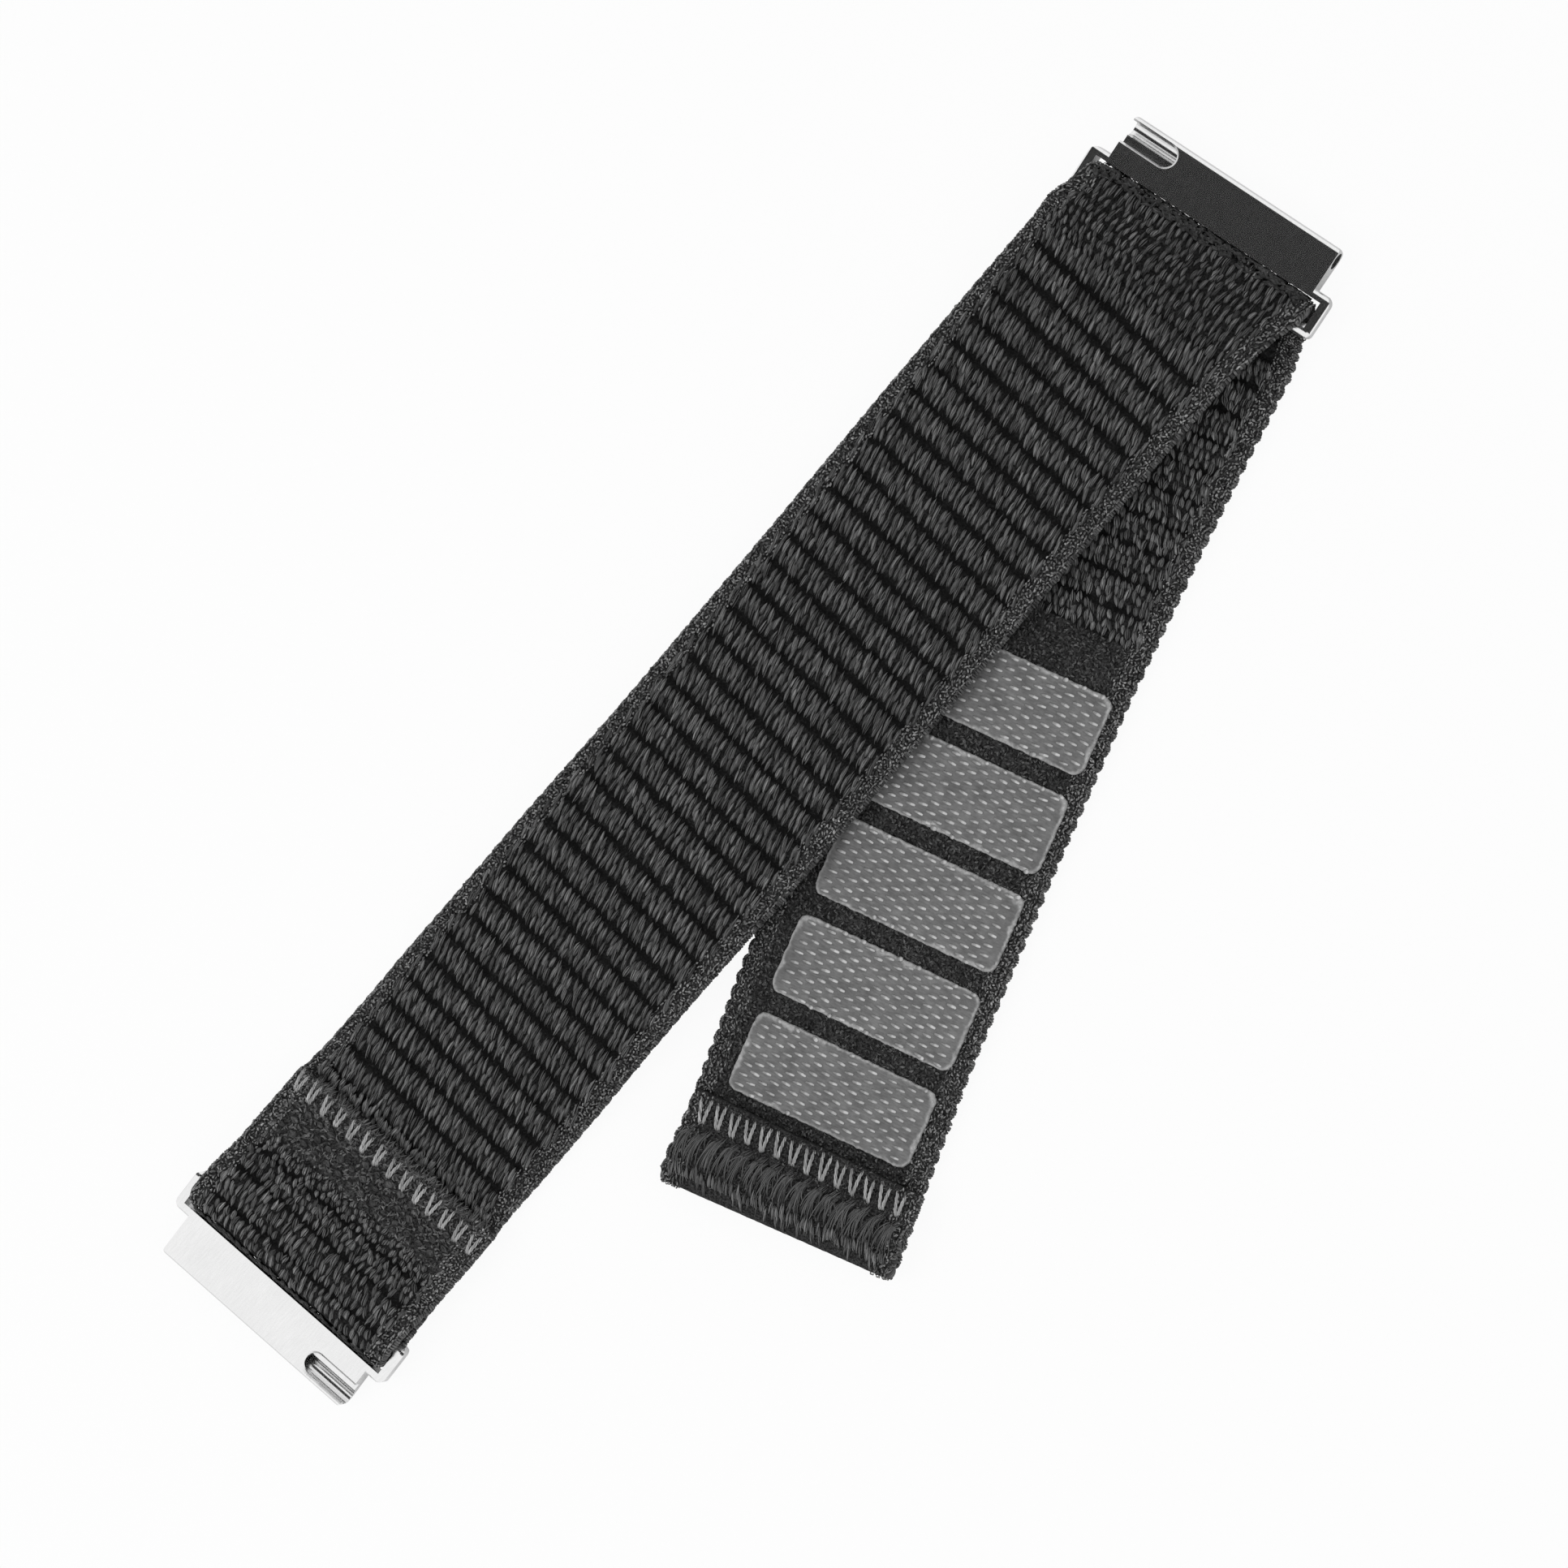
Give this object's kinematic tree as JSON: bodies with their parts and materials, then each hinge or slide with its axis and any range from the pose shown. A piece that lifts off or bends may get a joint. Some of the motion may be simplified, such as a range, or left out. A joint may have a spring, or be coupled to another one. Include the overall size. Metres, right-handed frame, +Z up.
{
  "type": "watch strap",
  "caption": "Woven nylon loop strap with a folded-back hook-and-loop tail and steel quick-release connectors for a 22 mm lug gap.",
  "frame": {"origin": "bottom centre of the strap's bounding box, on the surface that it lies on", "axes": "+X along the long run, from the fixed connector to the buckle connector; +Z up, out of the wrist face; the tail folds back under the long run towards -Y"},
  "size_m": [0.139, 0.0534, 0.0052],
  "materials": {
    "woven_nylon": "ribbed woven nylon, dark grey",
    "thread": "two-ply sewing thread, light grey",
    "hook_tape": "moulded hooks, mid grey",
    "stainless": "satin faces with polished edges"
  },
  "bodies": {
    "band": {"main_band": "woven_nylon", "fixed_end_turn": "woven_nylon", "fixed_end_stitch": "thread", "buckle_turn": "woven_nylon"},
    "tail": {"tail_band": "woven_nylon", "pull_tab": "woven_nylon", "pull_tab_stitch": "thread", "hook_pad_1": "hook_tape", "hook_pad_2": "hook_tape", "hook_pad_3": "hook_tape", "hook_pad_4": "hook_tape", "hook_pad_5": "hook_tape"},
    "fixed_link": {"fixed_connector": "stainless"},
    "buckle_link": {"buckle_connector": "stainless"}
  },
  "joints": [
    {"name": "fixed_connector_hinge", "type": "hinge", "parent": "band", "child": "fixed_link", "pos_m": [-0.06124, 0.01368, 0.0026], "axis": [-0.0645, 0.9979, 0], "range_deg": [-60, 75]},
    {"name": "buckle_connector_hinge", "type": "hinge", "parent": "band", "child": "buckle_link", "pos_m": [0.06046, 0.01348, 0.0026], "axis": [0.1444, -0.9895, 0], "range_deg": [-60, 75]},
    {"name": "tail_peel", "type": "hinge", "parent": "band", "child": "tail", "pos_m": [0.05526, 0.01157, 0.00025], "axis": [0.3107, -0.9505, 0], "range_deg": [0, 120]}
  ]
}
